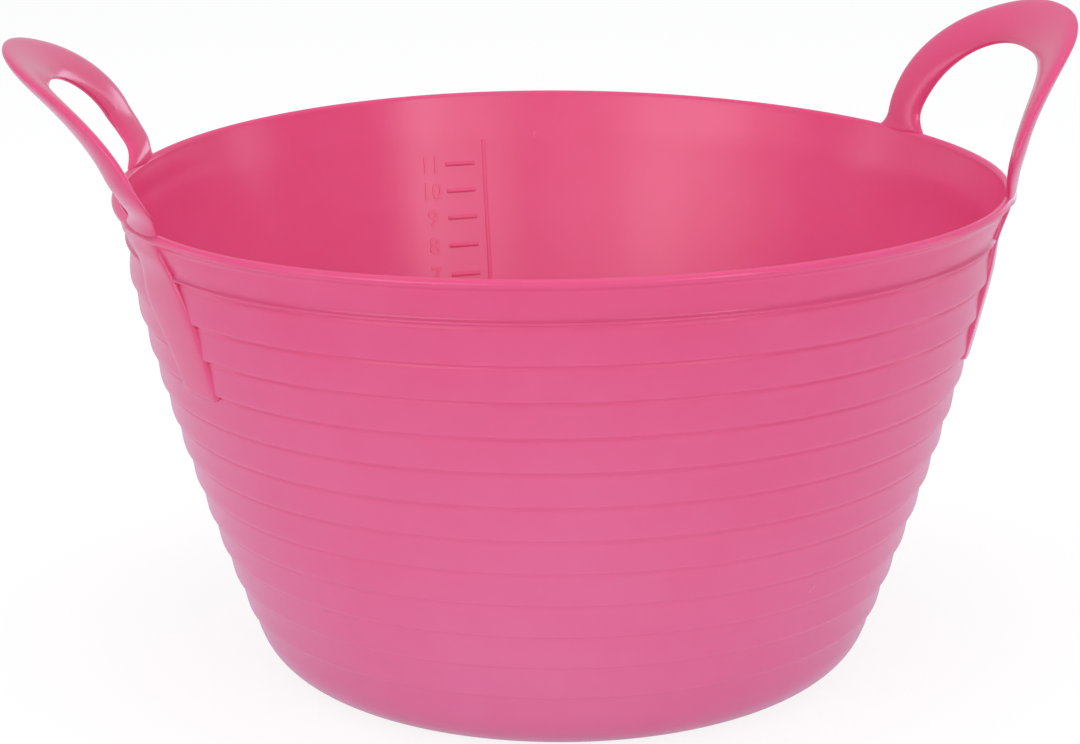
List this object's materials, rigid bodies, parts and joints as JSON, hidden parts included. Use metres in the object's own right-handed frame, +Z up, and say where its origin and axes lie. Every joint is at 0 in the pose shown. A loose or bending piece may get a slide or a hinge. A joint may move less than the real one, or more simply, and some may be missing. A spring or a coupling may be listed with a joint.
{
  "type": "flexible tub",
  "caption": "Shallow flexible plastic tub with stepped rings down the wall, a rounded lip and two flaring loop handles that bend inwards.",
  "frame": {"origin": "middle of the base on the ground", "axes": "+Z up; the two handles lie along +X and -X; the litre scale is on the inner wall towards +Y"},
  "size_m": [0.4218, 0.358, 0.259],
  "materials": {
    "wall_plastic": "satin moulded polyethylene, pink",
    "rim_plastic": "satin moulded polyethylene, pink",
    "base_plastic": "satin moulded polyethylene, pink",
    "handle_plastic": "satin moulded polyethylene, pink",
    "strap_plastic": "satin moulded polyethylene, pink",
    "scale_plastic": "satin moulded polyethylene, pink, raised marks"
  },
  "bodies": {
    "tub": {"tub_wall": "wall_plastic", "rim_band": "rim_plastic", "base_floor": "base_plastic", "strap_front_right": "strap_plastic", "strap_back_right": "strap_plastic", "strap_front_left": "strap_plastic", "strap_back_left": "strap_plastic", "litre_scale": "scale_plastic"},
    "right_loop": {"handle_right": "handle_plastic"},
    "left_loop": {"handle_left": "handle_plastic"}
  },
  "joints": [
    {"name": "right_handle_flex", "type": "hinge", "parent": "tub", "child": "right_loop", "pos_m": [0.15551, 0, 0.198], "axis": [0, -1, 0], "range_deg": [-6, 45], "stiffness_Nm_per_rad": 1.5},
    {"name": "left_handle_flex", "type": "hinge", "parent": "tub", "child": "left_loop", "pos_m": [-0.15551, 0, 0.198], "axis": [0, 1, 0], "range_deg": [-6, 45], "stiffness_Nm_per_rad": 1.5}
  ]
}
